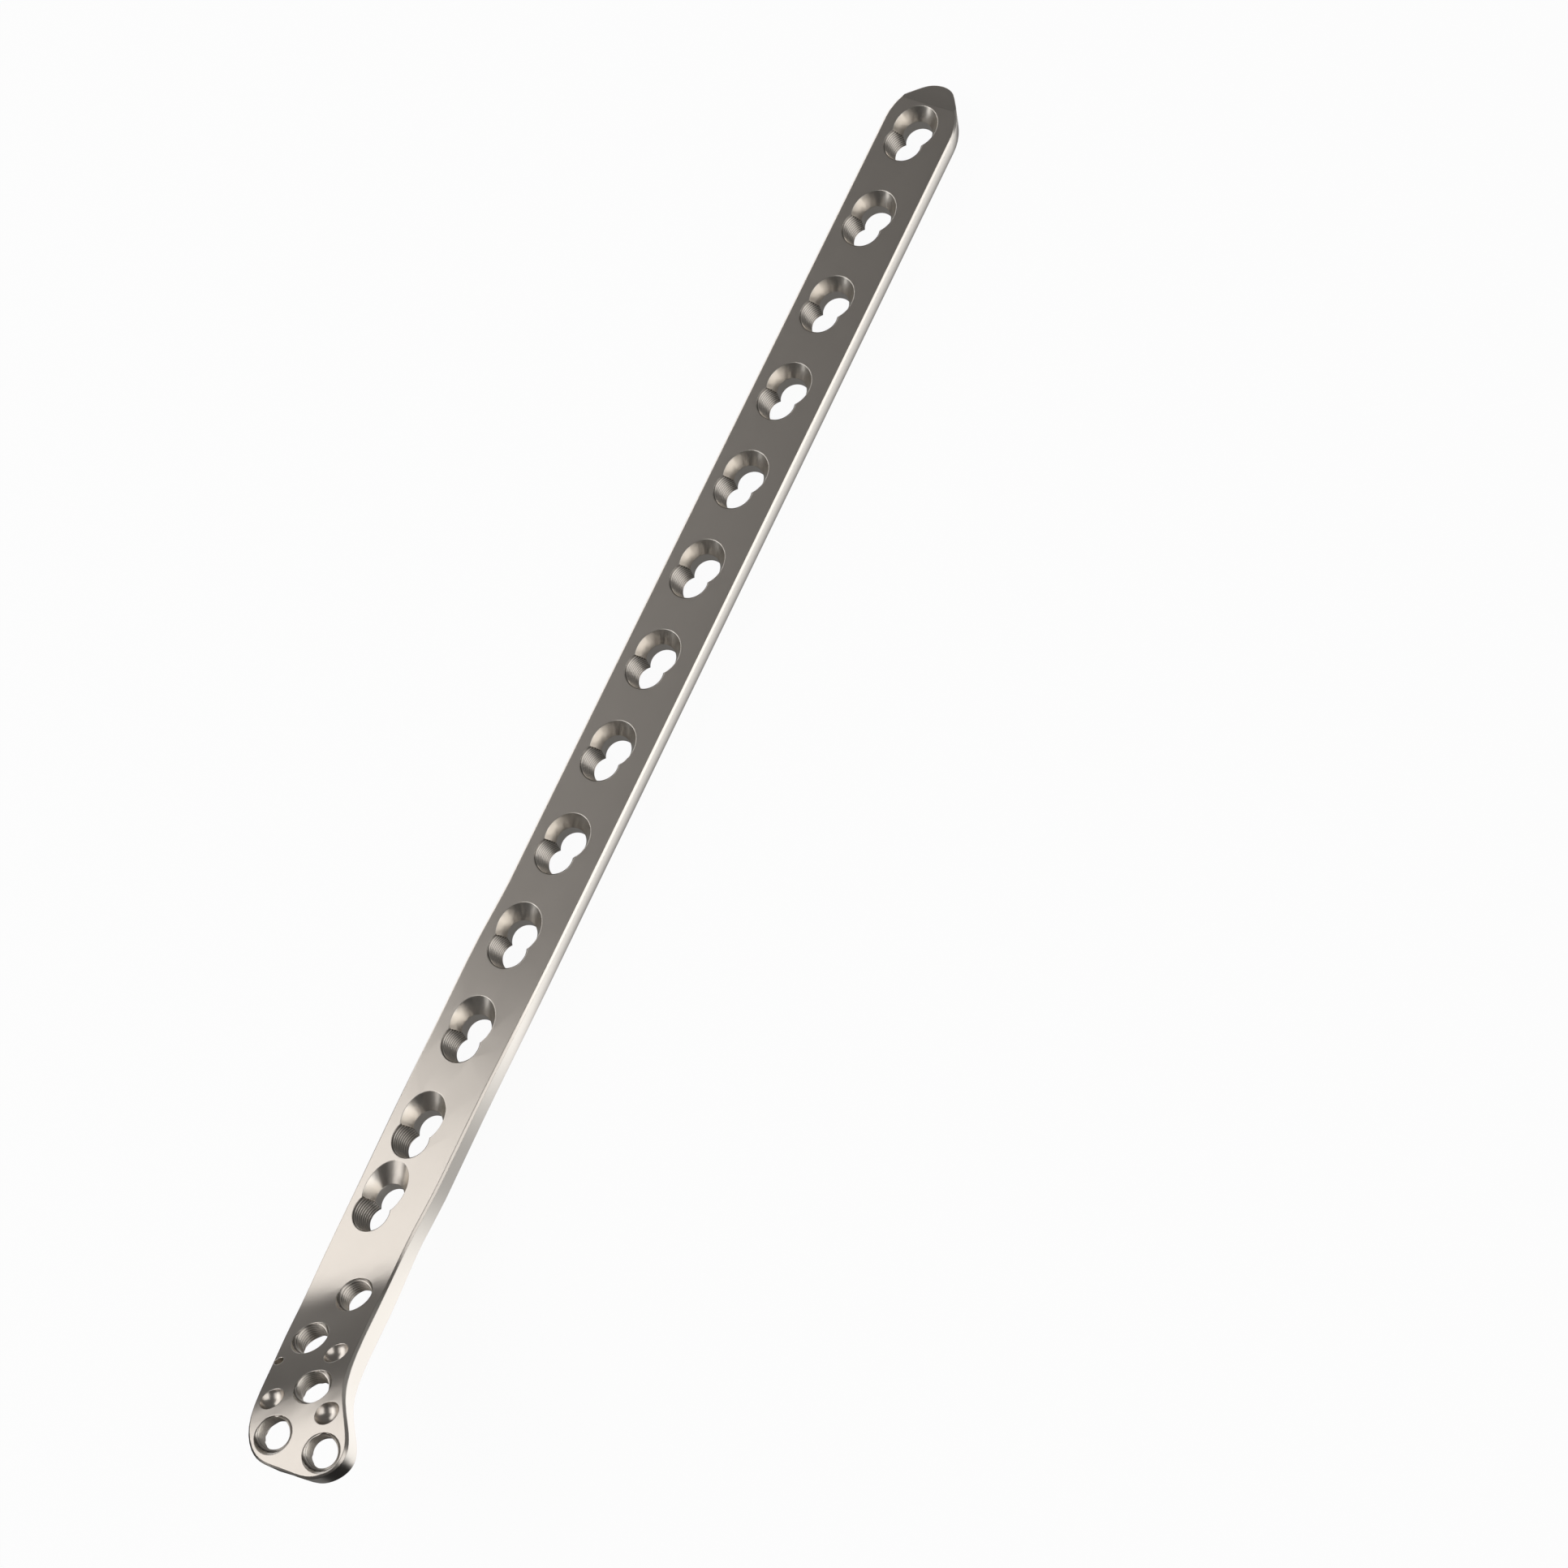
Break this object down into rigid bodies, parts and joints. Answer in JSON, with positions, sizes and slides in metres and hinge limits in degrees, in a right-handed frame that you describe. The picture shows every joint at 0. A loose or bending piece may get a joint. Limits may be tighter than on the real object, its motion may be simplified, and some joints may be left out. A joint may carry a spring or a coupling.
{
  "type": "orthopedic bone plate",
  "caption": "One-piece contoured locking plate for the upper shin bone: a long straight shaft of combination screw holes ends in a wider, bent and twisted head with round threaded holes",
  "frame": {"origin": "on the flat underside of the shaft, on its middle line and just inside the rounded tip", "axes": "+X along the shaft from its tip toward the head, +Z out of the face that looks away from the bone, +Y across toward the side that the head widens to"},
  "size_m": [0.2699, 0.032, 0.0312],
  "materials": {
    "titanium": "satin titanium alloy with a fine even blasted grain, warm grey, brighter threads and edges"
  },
  "bodies": {
    "root": {"bone_plate": "titanium"}
  },
  "joints": []
}
